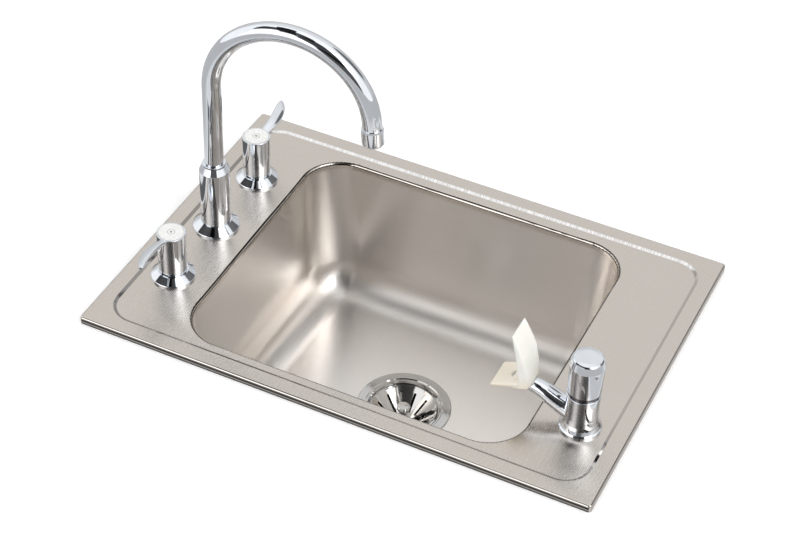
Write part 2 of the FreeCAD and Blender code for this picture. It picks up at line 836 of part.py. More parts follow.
rear_way = rod("rear_way", water_way_r, valve_way, 0, tap_spacing, inlet_foot - 1)
tap_body = cut("tap_body", tap_solid, bridge_way, front_way, rear_way)
node("tap_body", place(tap_body, tap_x, bowl_shift, deck_z))


def at_taps(name, maker):
    # The same ring at the front handle, the spout and the rear handle.
    pieces = []
    for number, y in enumerate((front_y, bowl_shift, rear_y)):
        pieces.append(place(maker("%s_%d" % (name, number)), tap_x, y, deck_z))
    return node(name, group(name, *pieces))


locknut_r = size("locknut_r")
locknut_height = size("locknut_height")
at_taps("deck_gaskets", lambda name: ring(name, shank_r + 0.3, shoulder_r, shoulder_z, -gauge))


def locknut(name):
    blank = hexagon(name + "_blank", locknut_r, locknut_height)
    thread = rod(name + "_thread", shank_r + 0.05, 20, 0, 0, -5)
    return cut(name, blank, thread)


at_taps("deck_locknuts", locknut)

# Gooseneck: flange, fixed sleeve, swivelling tube with its rings, and the aerator.

flange_wall = size("flange_wall")
skirt_edge = size("flange_edge")


def skirt(name, outer, top_r, bore, height):
    # Thin conical flange with an upright edge.
    slope = as_dim(height) - skirt_edge
    roof = as_dim(height) - flange_wall
    inner = as_dim(outer) - flange_wall
    shape = [(outer, 0), (outer, skirt_edge), (top_r, height), (bore, height), (bore, roof),
             (as_dim(top_r) - flange_wall * 0.4, roof), (inner, slope * 0.12), (inner, 0)]
    return soften(turned(name, shape), [(outer, skirt_edge)], 1.4)


spout_flange_height = size("spout_flange_height")
sleeve_r = size("sleeve_r")
sleeve_bore = size("sleeve_neck_r") - 0.3
tube_r = size("tube_r")
spout_flange = skirt("spout_flange", size("spout_flange_r"), sleeve_r + 0.9, shank_r + 0.8,
                     spout_flange_height)
node("spout_flange", place(spout_flange, tap_x, bowl_shift, deck_z))
sleeve_top = size("sleeve_top")
sleeve_neck_top = size("sleeve_neck_top")
lip_z = sleeve_top - 8
sleeve_shape = [(sleeve_bore, spout_flange_height), (sleeve_r, spout_flange_height), (sleeve_r, sleeve_top),
                (size("sleeve_neck_r"), sleeve_neck_top), (tube_r + slide_gap, sleeve_neck_top),
                (tube_r + slide_gap, lip_z), (sleeve_bore, lip_z)]
sleeve = soften(turned("spout_sleeve", sleeve_shape), [(sleeve_r, sleeve_top)], 0.8)
node("spout_sleeve", place(sleeve, tap_x, bowl_shift, deck_z))

tube_foot = size("tube_foot")
tube_straight = size("tube_straight")
arch_r = size("arch_r")
arch_sweep = size("arch_sweep")
tube_tail = size("tube_tail")
arch_end_x = arch_r - arch_r * cosine(arch_sweep)
arch_end_z = tube_straight + arch_r * sine(arch_sweep)
tail_lean = arch_sweep - 180
spout_turn = size("spout_turn")


def gooseneck(name, radius, extra):
    straight = rod(name + "_straight", radius, tube_straight - tube_foot + extra, 0, 0, tube_foot - extra)
    arch = doc.addObject("Part::Torus", name + "_arch")
    bind(arch, "Radius1", arch_r)
    bind(arch, "Radius2", radius)
    bind(arch, "Angle3", arch_sweep)
    upright = FreeCAD.Rotation(V(-1, 0, 0), V(0, 0, 1), V(0, 1, 0), "XYZ")
    arch.Placement = FreeCAD.Placement(V(0, 0, 0), upright)
    bind(arch, "Placement.Base.x", arch_r)
    bind(arch, "Placement.Base.z", tube_straight)
    length = tube_tail + extra
    tail = rod(name + "_tail", radius, length, arch_end_x + length * sine(arch_sweep), 0,
               arch_end_z + length * cosine(arch_sweep), (0, 1, 0), tail_lean)
    return fuse(name, straight, arch, tail)


tube = cut("spout_tube", gooseneck("tube_outside", tube_r, 0), gooseneck("tube_inside", tube_bore, 1))
node("spout_tube", place(tube, tap_x, bowl_shift, deck_z, (0, 0, 1), spout_turn))
neck_ring_foot = sleeve_neck_top + slide_gap
neck_ring_top = neck_ring_foot + size("ring_height")
neck_ring = soften(ring("spout_neck_ring", tube_r, size("ring_r"), neck_ring_foot, neck_ring_top),
                   [(size("ring_r"), neck_ring_top), (size("ring_r"), neck_ring_foot)], 0.9)
node("spout_neck_ring", place(neck_ring, tap_x, bowl_shift, deck_z))
retainer = ring("spout_retainer", tube_r, sleeve_bore - slide_gap, lip_z - 9, lip_z - 1)
node("spout_retainer", place(retainer, tap_x, bowl_shift, deck_z))


def o_ring(name, height):
    seal = doc.addObject("Part::Torus", name)
    bind(seal, "Radius1", groove_r + o_ring_r)
    bind(seal, "Radius2", o_ring_r)
    return place(seal, tap_x, bowl_shift, deck_z + height)


node("spout_o_rings", group("spout_o_rings", *[o_ring("o_ring_%d" % number, height)
                                               for number, height in enumerate(o_ring_heights)]))

aerator_r = size("aerator_r")
aerator_length = size("aerator_length")
aerator_lap = size("aerator_lap")
mouth_r = tube_bore - 1.0
screen_foot = 1.4 - aerator_length
shell_shape = [(tube_r, 0), (aerator_r - 0.6, 0), (aerator_r, -2.4), (aerator_r, -aerator_length),
               (mouth_r, -aerator_length), (mouth_r, screen_foot), (tube_bore, screen_foot),
               (tube_bore, -aerator_lap), (tube_r, -aerator_lap)]
shell = soften(turned("shell_form", shell_shape), [(aerator_r, -aerator_length)], 3.0)
bare_tail = tube_tail - aerator_lap
shell_x = arch_end_x + bare_tail * sine(arch_sweep)
shell_z = arch_end_z + bare_tail * cosine(arch_sweep)


def hung_at_outlet(label, piece):
    # Piece leaning with the end of the tube and turned with it about the column.
    hung = group(label, place(piece, shell_x, 0, shell_z, (0, 1, 0), tail_lean))
    return node(label, place(hung, tap_x, bowl_shift, deck_z, (0, 0, 1), spout_turn))


hung_at_outlet("aerator_shell", shell)
screen_disc = ring("screen_disc", 0, tube_bore, screen_foot, -aerator_lap - 1)
screen_cuts = []
for turn in range(0, 360, 60):
    screen_cuts.append(rod("screen_hole_%d" % turn, 1.7, 40, 6 * math.cos(math.radians(turn)),
                           6 * math.sin(math.radians(turn)), screen_foot - 5))
screen_cuts.append(rod("screen_centre", 2.0, 40, 0, 0, screen_foot - 5))
hung_at_outlet("aerator_insert", cut("screen_form", screen_disc, *screen_cuts))

# Handles: flange, cartridge, turning stem, hub with lever, screw and cap.

handle_flange_height = size("handle_flange_height")
hub_foot_r = size("hub_foot_r")
hub_r = size("hub_r")
hub_top = size("hub_top")
cap_r = size("cap_r")
cap_ring_r = size("cap_ring_r")
cap_dot_r = size("cap_dot_r")
cap_thick = size("cap_thick")
cap_floor = hub_top + size("cap_proud") - cap_thick
stem_r = size("stem_r")
stem_top = size("stem_top")
head_floor = stem_top + size("handle_web")
hub_foot = handle_flange_height + slide_gap
hub_bore = size("hub_bore")
socket_foot = size("socket_foot")
screw_r = size("handle_screw_r")
screw_head_r = size("handle_screw_head_r")
lever_reach = size("lever_reach")
lever_bow = size("lever_bow")
lever_rise = size("lever_rise")
lever_half_width = size("lever_half_width")
lever_half_thick = size("lever_half_thick")

# Stations along the lever as shares of its reach, bow, rise, width and thickness.
LEVER_STATIONS = (
    (0.15, 0.30, 0.00, 0.72, 1.40),
    (0.32, 0.80, 0.32, 0.84, 1.15),
    (0.49, 1.10, 0.62, 0.94, 1.00),
    (0.66, 0.90, 0.84, 1.00, 0.90),
    (0.83, 0.20, 0.96, 0.90, 0.76),
    (1.00, -1.00, 1.00, 0.30, 0.44),
)


def lever(name):
    sections = []
    root_z = hub_top - size("lever_drop")
    for number, (along, bow, rise, wide, thick) in enumerate(LEVER_STATIONS):
        sections.append(oval("%s_%d" % (name, number), lever_half_width * wide, lever_half_thick * thick,
                             lever_bow * bow, lever_reach * along, root_z + lever_rise * rise, "X",
                             SIZES["lever_twist"]))
    return loft(name, sections)


def handle_hub(name):
    shape = [(0, hub_foot), (hub_foot_r, hub_foot), (hub_foot_r + 0.4, hub_foot + 4), (hub_r, hub_foot + 30),
             (hub_r, hub_top), (0, hub_top)]
    blank = soften(turned(name + "_blank", shape), [(hub_r, hub_top)], 0.6)
    solid = fuse(name + "_solid", blank, lever(name + "_lever"))
    bores = [rod(name + "_bore", hub_bore, socket_foot - hub_foot + 5, 0, 0, hub_foot - 5),
             rod(name + "_socket", stem_r, stem_top - hub_foot, 0, 0, hub_foot),
             rod(name + "_well", screw_head_r + 2.5, 20, 0, 0, head_floor),
             rod(name + "_seat", cap_r + 0.3, 10, 0, 0, cap_floor)]
    web = rod(name + "_web", screw_r + 0.3, 20, 0, 0, stem_top - 10)
    return cut(name, solid, *bores, web)


def handle_set(side, y, turn):
    flange = skirt(side + "_flange", size("handle_flange_r"), hub_r + 1.2, shank_r + slide_gap,
                   handle_flange_height)
    node(side + "_handle_flange", place(flange, tap_x, y, deck_z))
    tower_r = hub_bore - 1.5
    cartridge_shape = [
        (stem_r + slide_gap, 2 - valve_depth), (cartridge_r, 2 - valve_depth), (cartridge_r, valve_rise),
        (shank_r, valve_rise), (shank_r, valve_rise + 3), (tower_r, valve_rise + 3),
        (tower_r, socket_foot - 6), (stem_r + slide_gap, socket_foot - 6),
    ]
    node(side + "_cartridge", place(turned(side + "_cartridge", cartridge_shape), tap_x, y, deck_z))
    stem_foot = 6 - valve_depth
    stem_shape = [(0, stem_foot), (stem_r, stem_foot), (stem_r, stem_top), (screw_r, stem_top),
                  (screw_r, stem_top - 10), (0, stem_top - 10)]
    node(side + "_valve_stem", place(turned(side + "_valve_stem", stem_shape), tap_x, y, deck_z))
    hub = handle_hub(side + "_hub")
    node(side + "_handle", place(hub, tap_x, y, deck_z, (0, 0, 1), turn))
    screw_shape = [(0, stem_top - 9), (screw_r, stem_top - 9), (screw_r, head_floor),
                   (screw_head_r, head_floor), (screw_head_r, head_floor + 2.0), (0, head_floor + 2.0)]
    node(side + "_handle_screw", place(turned(side + "_handle_screw", screw_shape), tap_x, y, deck_z))
    cap_top = cap_floor + cap_thick
    cap_shape = [(0, cap_floor), (cap_r, cap_floor), (cap_r, cap_top), (cap_ring_r + 0.4, cap_top),
                 (cap_ring_r, cap_top - 0.3), (cap_ring_r - 0.4, cap_top), (cap_dot_r, cap_top),
                 (cap_dot_r, cap_top - 1.0), (0, cap_top - 1.0)]
    cap = soften(turned(side + "_cap", cap_shape), [(cap_r, cap_top)], 0.5)
    node(side + "_index_cap", place(cap, tap_x, y, deck_z))


handle_set("front", front_y, 180)
handle_set("rear", rear_y, 0)

# Bubbler: body with its arm, cartridge, push cap, nozzle and guard. Heights from the deck top.

base_r = size("base_r")
base_edge = size("base_edge")
lower_r = size("lower_r")
flare = base_r - lower_r
lower_top = size("lower_top")
chamber_r = size("chamber_r")
chamber_floor = size("chamber_floor")
bubbler_shank_r = size("bubbler_shank_r")
bubbler_shank_foot = -size("bubbler_shank_length")
bubbler_inlet_r = size("bubbler_inlet_r")
bubbler_foot = bubbler_shank_foot - size("bubbler_inlet_length")
arm_height = size("arm_height")
arm_reach = size("arm_reach")
arm_rise = size("arm_rise")
arm_half_width = size("arm_half_width")
arm_half_height = size("arm_half_height")
body_shape = [(0, bubbler_foot), (bubbler_inlet_r, bubbler_foot), (bubbler_inlet_r, bubbler_shank_foot),
              (bubbler_shank_r, bubbler_shank_foot), (bubbler_shank_r, 0), (base_r, 0), (base_r, base_edge),
              (base_r - flare * 0.3, base_edge * 1.8), (lower_r + flare * 0.36, lower_top * 0.165),
              (lower_r + flare * 0.14, lower_top * 0.25), (lower_r + flare * 0.02, lower_top * 0.39),
              (lower_r, lower_top * 0.58), (lower_r, lower_top), (0, lower_top)]
bubbler_blank = soften(turned("bubbler_blank", body_shape), [(lower_r, lower_top)], 0.8)

# Stations along the arm as shares of its reach, width, height and rise.
ARM_STATIONS = (
    (0.10, 1.10, 1.10, 0.00),
    (0.27, 1.03, 1.03, 0.28),
    (0.45, 0.95, 0.95, 0.65),
    (0.61, 0.84, 0.84, 0.90),
    (0.80, 0.60, 0.46, 1.00),
    (1.00, 0.22, 0.12, 0.97),
)
arm_sections = []
for number, (along, wide, tall, rise) in enumerate(ARM_STATIONS):
    arm_sections.append(oval("arm_%d" % number, arm_half_width * wide, arm_half_height * tall,
                             -arm_reach * along, 0, arm_height + arm_rise * rise, "Y"))
arm = loft("bubbler_arm", arm_sections)

# Nozzle axis: from a point inside the arm, leaning up and outward. Nozzle and guard keep to the arm's end.
nozzle_r = size("nozzle_r")
nozzle_tilt = size("nozzle_tilt")
nozzle_root_x = size("nozzle_root_back") - arm_reach
nozzle_root_z = size("nozzle_root_height")
nozzle_length = size("nozzle_length")


def nozzle_rod(name, radius, start, length):
    # Round bar on the nozzle axis beginning at the given distance from its root.
    x = nozzle_root_x - as_dim(start) * cosine(nozzle_tilt)
    z = nozzle_root_z + as_dim(start) * sine(nozzle_tilt)
    return rod(name, radius, length, x, 0, z, (0, 1, 0), nozzle_tilt - 90)


arm_seat = nozzle_rod("arm_seat", nozzle_r, 0, nozzle_length)
body_solid = fuse("bubbler_solid", bubbler_blank, arm)
chamber = rod("chamber", chamber_r, lower_top, 0, 0, chamber_floor)
supply_way = rod("supply_way", water_way_r, chamber_floor - bubbler_foot + 2, 0, 0, bubbler_foot - 1)
bubbler_body = cut("bubbler_body", body_solid, chamber, supply_way, arm_seat)
node("bubbler_body", place(bubbler_body, bubbler_x, bubbler_y, deck_z))

bubbler_gasket = ring("bubbler_gasket", bubbler_shank_r + 0.3, base_r - 2, -gauge - gasket_thick, -gauge)
node("bubbler_washer", place(bubbler_gasket, bubbler_x, bubbler_y, deck_z))
bubbler_nut_thick = size("bubbler_nut_thick")
bubbler_nut_foot = -gauge - gasket_thick - bubbler_nut_thick
nut_blank = place(hexagon("bubbler_nut_blank", size("bubbler_nut_r"), bubbler_nut_thick), z=bubbler_nut_foot)
nut_thread = rod("bubbler_nut_thread", bubbler_shank_r + 0.05, bubbler_nut_thick + 4, 0, 0,
                 bubbler_nut_foot - 2)
node("bubbler_locknut", place(cut("bubbler_locknut", nut_blank, nut_thread), bubbler_x, bubbler_y, deck_z))

neck_r = size("neck_r")
neck_top = size("neck_top")
plunger_r = size("plunger_r")
plunger_foot = size("plunger_foot")
guide_r = size("guide_r")
guide_top = size("guide_top")
guide_bore = plunger_r + slide_gap
guide_foot = plunger_foot + 2
cartridge_shape = [(guide_bore, guide_foot), (chamber_r, guide_foot), (chamber_r, lower_top),
                   (neck_r, lower_top), (neck_r, neck_top), (guide_r, neck_top), (guide_r, guide_top),
                   (guide_bore, guide_top)]
bubbler_cartridge = soften(turned("bubbler_cartridge", cartridge_shape), [(neck_r, neck_top)], 0.5)
node("bubbler_cartridge", place(bubbler_cartridge, bubbler_x, bubbler_y, deck_z))

push_foot = size("push_cap_foot")
push_edge = size("push_cap_edge")
push_top = size("push_cap_top")
push_r = size("push_cap_r")
push_disc_r = size("push_disc_r")
push_travel = size("push_travel")
disc_floor = push_top - 2.2
roof_z = disc_floor - 5
pocket_r = neck_r + slide_gap
pocket_top = neck_top + push_travel + 0.8
sleeve_in = size("spring_r") + 2 * size("spring_wire_r") + 1.2
push_shape = [(pocket_r, push_foot), (size("push_cap_foot_r"), push_foot), (push_r, push_edge),
              (push_disc_r + 0.7, push_top), (push_disc_r + 0.3, push_top), (push_disc_r + 0.3, disc_floor),
              (plunger_r, disc_floor), (plunger_r, roof_z), (sleeve_in, roof_z), (sleeve_in, pocket_top),
              (pocket_r, pocket_top)]
push_blank = soften(turned("push_blank", push_shape), [(push_r, push_edge)], 0.8)
set_screw_r = size("set_screw_r")
set_screw_angle = size("set_screw_angle")
set_screw_height = size("set_screw_height")


screw_turn_axis = (-sine(set_screw_angle).number, cosine(set_screw_angle).number, 0)


def set_screw_rod(name, radius, start, length):
    # Round bar lying radially in the push cap.
    return rod(name, radius, length, start * cosine(set_screw_angle), start * sine(set_screw_angle),
               set_screw_height, screw_turn_axis, 90)


push_cap = cut("push_cap", push_blank, set_screw_rod("set_screw_hole", set_screw_r, sleeve_in - 2, 20))
node("push_cap", place(push_cap, bubbler_x, bubbler_y, deck_z))
set_screw_start = sleeve_in + 0.8
set_screw_blank = set_screw_rod("set_screw_blank", set_screw_r, set_screw_start,
                                push_r - set_screw_start + 0.5)
set_screw_socket = set_screw_rod("set_screw_socket", set_screw_r * 0.5, push_r - 1.2, 5)
set_screw = cut("push_set_screw", set_screw_blank, set_screw_socket)
node("push_set_screw", place(set_screw, bubbler_x, bubbler_y, deck_z))
disc_shape = [(0, disc_floor), (push_disc_r, disc_floor), (push_disc_r, push_top + 0.4),
              (push_disc_r - 1.6, push_top + 1.6), (push_disc_r - 6.0, push_top + 2.5), (0, push_top + 3.0)]
push_disc = soften(turned("push_disc", disc_shape), [(push_disc_r, push_top + 0.4)], 0.6)
node("push_disc", place(push_disc, bubbler_x, bubbler_y, deck_z))
plunger_shape = [(0, plunger_foot), (plunger_r, plunger_foot), (plunger_r, disc_floor), (0, disc_floor)]
node("push_plunger", place(turned("push_plunger", plunger_shape), bubbler_x, bubbler_y, deck_z))
spring_r = size("spring_r")
spring_wire_r = size("spring_wire_r")
spring = ring("return_spring", spring_r - spring_wire_r, spring_r + spring_wire_r, neck_top, roof_z)
node("return_spring", place(spring, bubbler_x, bubbler_y, deck_z))

nozzle_solid = nozzle_rod("nozzle_solid", nozzle_r, 0, nozzle_length)
nozzle_way = nozzle_rod("nozzle_way", size("nozzle_way_r"), 6, nozzle_length)
node("bubbler_nozzle", place(cut("bubbler_nozzle", nozzle_solid, nozzle_way), bubbler_x, bubbler_y, deck_z))

# Guard: lower lip and leaning hood of one moulded piece, open toward the bowl, with a boss for the nozzle.

guard_width = size("guard_width")
lip_out_x = -arm_reach - size("guard_lip_out")
lip_out_z = size("guard_lip_height")
root_x = size("guard_root_back") - arm_reach
root_z = size("guard_root_height")
tip_x = size("guard_tip_back") - arm_reach
tip_z = size("guard_tip_height")
back_x = size("guard_heel_back") - arm_reach
guard_profile = [
    (lip_out_x, lip_out_z), (root_x, root_z), (root_x - 7.0, root_z + 38.0), (tip_x, tip_z),
    (tip_x + 1.8, tip_z + 0.6), (tip_x + 10.0, tip_z - 14.0), (tip_x + 17.4, tip_z - 31.0),
    (back_x - 3.6, root_z + 13.5), (back_x, root_z - 1.0), (back_x - 0.6, root_z - 5.0),
    (back_x - 4.0, root_z - 8.0), (root_x - 8.0, root_z - 8.5),
    (lip_out_x + 4.0, lip_out_z - 2.6), (lip_out_x, lip_out_z - 2.0),
]
guard_sheet = padded("guard_sheet", "XZ_Plane", guard_profile, guard_width)
tip_half = size("guard_tip_width") / 2
base_half = guard_width / 2
front_low = lip_out_z - 15
front_high = tip_z + 5
guard_front = [(-base_half, front_low), (base_half, front_low), (base_half, root_z), (tip_half, front_high),
               (-tip_half, front_high), (-base_half, root_z)]
guard_side = place(padded("guard_side", "YZ_Plane", guard_front, 200), x=root_x)
guard_block = common("guard_block", guard_sheet, guard_side)
heel_half = guard_width * 0.22
guard_outline = [(lip_out_x - 5, -base_half), (back_x - 13, -base_half), (back_x - 4.0, -base_half * 0.80),
                 (back_x, -heel_half), (back_x + 1, 0), (back_x, heel_half),
                 (back_x - 4.0, base_half * 0.80), (back_x - 13, base_half), (lip_out_x - 5, base_half)]
guard_plan = padded("guard_plan", "XY_Plane", guard_outline, 4 * front_high)
guard_form = common("guard_form", guard_block, guard_plan)
boss_round = nozzle_rod("boss_round", nozzle_r + 3.2, 8, nozzle_length - 7.4)
boss_trim = block("boss_trim", 60, 60, 30, root_x, 0, root_z - 37)
guard_boss = cut("guard_boss", boss_round, boss_trim)
guard_bore = nozzle_rod("guard_bore", nozzle_r, -5, nozzle_length + 20)
guard_solid = fuse("guard_solid", guard_form, guard_boss)
arm_core = loft("guard_arm_core", arm_sections)
guard = cut("mouth_guard", guard_solid, guard_bore, arm_core)
node("mouth_guard", place(guard, bubbler_x, bubbler_y, deck_z))

# Check and write every piece.

doc.recompute()
for obj in doc.Objects:
    states = [state for state in obj.State if state in ("Invalid", "Error")]
    if states:
        raise RuntimeError("%s is %s" % (obj.Name, states))
os.makedirs("parts", exist_ok=True)
for obj in nodes:
    if obj.Shape.isNull() or not obj.Shape.isValid():
        raise RuntimeError("%s has no valid shape" % obj.Label)
    obj.Shape.exportStep("parts/%s.step" % obj.Label)
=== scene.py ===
import json
import math

import bmesh
import bpy
from mathutils import Matrix, Vector

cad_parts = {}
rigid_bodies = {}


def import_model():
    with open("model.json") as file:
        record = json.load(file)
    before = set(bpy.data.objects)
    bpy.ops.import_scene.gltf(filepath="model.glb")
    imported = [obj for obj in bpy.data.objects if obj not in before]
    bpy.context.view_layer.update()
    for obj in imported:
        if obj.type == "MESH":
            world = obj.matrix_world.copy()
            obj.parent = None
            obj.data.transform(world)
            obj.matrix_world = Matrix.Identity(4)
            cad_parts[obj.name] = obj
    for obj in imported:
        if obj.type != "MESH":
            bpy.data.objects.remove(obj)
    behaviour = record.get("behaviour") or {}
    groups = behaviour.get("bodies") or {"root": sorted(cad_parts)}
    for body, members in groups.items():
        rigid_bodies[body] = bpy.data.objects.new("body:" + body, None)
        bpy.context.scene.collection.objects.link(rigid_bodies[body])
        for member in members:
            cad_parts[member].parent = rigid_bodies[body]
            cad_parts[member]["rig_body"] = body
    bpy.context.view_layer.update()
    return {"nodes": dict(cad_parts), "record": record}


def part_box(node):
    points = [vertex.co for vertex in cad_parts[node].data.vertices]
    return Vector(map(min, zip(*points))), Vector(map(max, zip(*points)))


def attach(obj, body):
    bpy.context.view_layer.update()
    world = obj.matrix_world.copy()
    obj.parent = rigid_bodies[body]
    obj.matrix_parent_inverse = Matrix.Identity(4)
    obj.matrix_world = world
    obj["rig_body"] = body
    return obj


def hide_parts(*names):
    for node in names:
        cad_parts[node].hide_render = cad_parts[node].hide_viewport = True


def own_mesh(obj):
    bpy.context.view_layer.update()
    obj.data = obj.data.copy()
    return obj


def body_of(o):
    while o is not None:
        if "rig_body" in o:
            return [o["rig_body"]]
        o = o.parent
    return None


# Drop-in sink with gooseneck tap, push bubbler and basket drain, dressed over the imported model.
# Metres; origin at the centre of the rim on the counter plane, X to the bubbler end, Y to the back, Z up.

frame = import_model()
nodes = frame["nodes"]

DECK_Z = 0.0075
RIM_HALF = (0.322, 0.223)
PANEL_HALF = (0.3025, 0.2035)
BOWL_CENTER = (0.0, -0.0016)
FRONT_HANDLE = (-0.264, -0.1056)
REAR_HANDLE = (-0.264, 0.1024)


# Node tree helpers. A span is the pair of values between which a ramp runs from one end to the other.

RISING = (0.0, 1.0)
FALLING = (1.0, 0.0)
MIDDLE = (0.3, 0.7)
EVEN = (1.0, 1.0, 1.0)
METAL = 1.0
NO_METAL = 0.0
NOISE_ROUGHNESS = 0.55
MIX_SOCKETS = {"FLOAT": (2, 3, 0), "VECTOR": (4, 5, 1), "RGBA": (6, 7, 2)}


def show(name, data):
    item = bpy.data.objects.new(name, data)
    bpy.context.scene.collection.objects.link(item)
    return item


def new_material(name, color, metallic, roughness):
    material = bpy.data.materials.new(name)
    material.use_nodes = True
    tree = material.node_tree
    shader = tree.nodes["Principled BSDF"]
    shader.inputs["Base Color"].default_value = (*color, 1.0)
    shader.inputs["Metallic"].default_value = metallic
    shader.inputs["Roughness"].default_value = roughness
    material.diffuse_color = (*color, 1.0)
    return material, tree, shader


def wire(tree, socket, source):
    if isinstance(source, bpy.types.NodeSocket):
        tree.links.new(source, socket)
    else:
        socket.default_value = source


def add(tree, kind, inputs=None, **settings):
    node = tree.nodes.new(kind)
    for name, value in settings.items():
        setattr(node, name, value)
    for name, source in (inputs or {}).items():
        wire(tree, node.inputs[name], source)
    return node


def compute(tree, operation, first, second=0.0):
    return add(tree, "ShaderNodeMath", {0: first, 1: second}, operation=operation).outputs[0]


def plus(tree, first, second):
    return compute(tree, "ADD", first, second)


def minus(tree, first, second):
    return compute(tree, "SUBTRACT", first, second)


def times(tree, first, second):
    return compute(tree, "MULTIPLY", first, second)


def size_of(tree, value):
    return compute(tree, "ABSOLUTE", value)


def darken(tree, value, mask, share):
    # Takes a share of the value away where the mask is one.
    return times(tree, value, minus(tree, 1.0, times(tree, mask, share)))


def ramp(tree, value, span, ends=RISING):
    # Smooth step over the span.
    node = add(tree, "ShaderNodeMapRange",
               {"Value": value, "From Min": span[0], "From Max": span[1],
                "To Min": ends[0], "To Max": ends[1]},
               interpolation_type="SMOOTHSTEP")
    return node.outputs["Result"]


def band(tree, value, rising, falling):
    # One between the two spans, zero outside them.
    return times(tree, ramp(tree, value, rising), ramp(tree, value, falling, FALLING))


def blend(tree, kind, share, first, second):
    start, end, result = MIX_SOCKETS[kind]
    node = add(tree, "ShaderNodeMix", {"Factor": share}, data_type=kind)
    wire(tree, node.inputs[start], first)
    wire(tree, node.inputs[end], second)
    return node.outputs[result]


def blend_color(tree, share, first, second):
    # Either colour may be three numbers.
    ends = ((*end, 1.0) if isinstance(end, tuple) else end for end in (first, second))
    return blend(tree, "RGBA", share, *ends)


def object_coords(tree):
    return add(tree, "ShaderNodeTexCoord").outputs["Object"]


def split(tree, vector):
    node = add(tree, "ShaderNodeSeparateXYZ", {0: vector})
    return node.outputs[0], node.outputs[1], node.outputs[2]


def radius_about(tree, coords, center):
    # Distance from an upright axis.
    x, y, _ = split(tree, coords)
    dx = minus(tree, x, center[0])
    dy = minus(tree, y, center[1])
    return compute(tree, "SQRT", plus(tree, times(tree, dx, dx), times(tree, dy, dy)))


def noise(tree, coords, scale, detail=3.0, stretch=EVEN):
    # Noise whose grains may be stretched by different scales along the axes.
    sized = add(tree, "ShaderNodeMapping", {"Vector": coords, "Scale": stretch}).outputs[0]
    node = add(tree, "ShaderNodeTexNoise",
               {"Vector": sized, "Scale": scale, "Detail": detail, "Roughness": NOISE_ROUGHNESS})
    return node.outputs["Fac"]


def coat(tree, shader, color, roughness):
    tree.links.new(color, shader.inputs["Base Color"])
    tree.links.new(roughness, shader.inputs["Roughness"])


def bump(tree, shader, height, strength, distance):
    node = add(tree, "ShaderNodeBump", {"Height": height, "Strength": strength, "Distance": distance})
    tree.links.new(node.outputs[0], shader.inputs["Normal"])


def facing_up(tree):
    normal = add(tree, "ShaderNodeNewGeometry").outputs["True Normal"]
    return size_of(tree, split(tree, normal)[2])


# Sheet steel of the sink. Spans are heights, places, or how far a face looks up (one for a level face).
# A relief is the strength and the distance of a bump.

PLAIN_STEEL = (0.60, 0.57, 0.535)
PLAIN_ROUGHNESS = 0.3
# The whole sheet is one steel: the bowl's walls, and its upward-facing floor more so, get lighter copies of
# the deck's tone as painted light.
DECK_STEEL = ((0.64, 0.593, 0.545), (0.663, 0.617, 0.57))
BOWL_LIT_STEEL = ((0.735, 0.70, 0.664), (0.766, 0.732, 0.70))
FLOOR_LIT_STEEL = ((0.845, 0.812, 0.777), (0.875, 0.844, 0.81))
BOWL_TOP = (DECK_Z - 0.012, DECK_Z - 0.006)
FLOOR_FACING = (0.90, 0.99)

DECK_GRAIN = {"scale": 1500.0, "detail": 2.0, "stretch": (1.0, 0.012, 1.0)}
WALL_GRAIN = {"scale": 1300.0, "detail": 2.0, "stretch": (0.012, 0.012, 1.0)}
LEVEL_FACING = (0.55, 0.85)
CLOUD_SCALE = 9.0
CLOUD_SHARE = 0.4
GRAIN_RELIEF = (0.0012, 0.0004)

SATIN_SPAN = (0.25, 0.75)
SATIN_ROUGHNESS = (0.24, 0.29)
BOWL_EXTRA_ROUGHNESS = 0.05
BRUSHED_ANISOTROPY = 0.75
DECK_TANGENT = (1.0, 0.0, 0.0)
BOWL_TANGENT = (0.0, 1.0, 0.6)

SIDE_DEPTH = (0.0006, 0.0001)
# Painted shade on the rim's ends and rolled edges, with one pale band as a painted highlight near the top.
END_SHADE = (0.34, 0.30, 0.27)
ROLLED_FOOT_SHADE = (0.05, 0.046, 0.042)
ROLLED_SHADE_AND_HIGHLIGHT_BANDS = (
    ((0.0014, 0.0024), (0.34, 0.32, 0.30)),
    ((0.0034, 0.0044), (0.04, 0.036, 0.033)),
    ((0.0066, 0.0076), (0.80, 0.78, 0.75)),
)

BEAD_RISE = (DECK_Z, DECK_Z + 0.0002)
BEAD_FACING = ((0.84, 0.86), (0.93, 0.96))
# Bead tones are painted shade, with a painted sheen and painted glints at the back.
BEAD_SHADE = (0.34, 0.32, 0.30)
RIGHT_BEAD_LIGHTER_SHADE = (0.58, 0.54, 0.50)
RIGHT_BEAD_X = (PANEL_HALF[0] - 0.008, PANEL_HALF[0] - 0.004)
RIGHT_BEAD_Y = (-0.17, -0.08)
BACK_BEAD_SHEEN = (0.60, 0.59, 0.58)
BACK_BEAD_GLINT = (0.80, 0.80, 0.80)
BACK_BEAD_Y = (PANEL_HALF[1] - 0.012, PANEL_HALF[1] - 0.008)
TICK_GRAIN = {"scale": 650.0, "stretch": (1.0, 0.06, 0.06)}
TICK_SPAN = (0.36, 0.66)

LIP_FOOT = (DECK_Z - 0.0055, DECK_Z - 0.0035)
LIP_TOP = (DECK_Z - 0.0002, DECK_Z)
LIP_FACING = (0.93, 0.985)
LIP_OUTER_LINE = ((0.66, 0.76), (0.955, 0.985))
LIP_INNER_LINE = ((0.10, 0.18), (0.36, 0.44))
LIP_SHADE = (0.07, 0.062, 0.055)
LIP_ROUGHNESS = 0.10


def at_side(tree, value, half):
    return ramp(tree, size_of(tree, value), (half - SIDE_DEPTH[0], half - SIDE_DEPTH[1]))


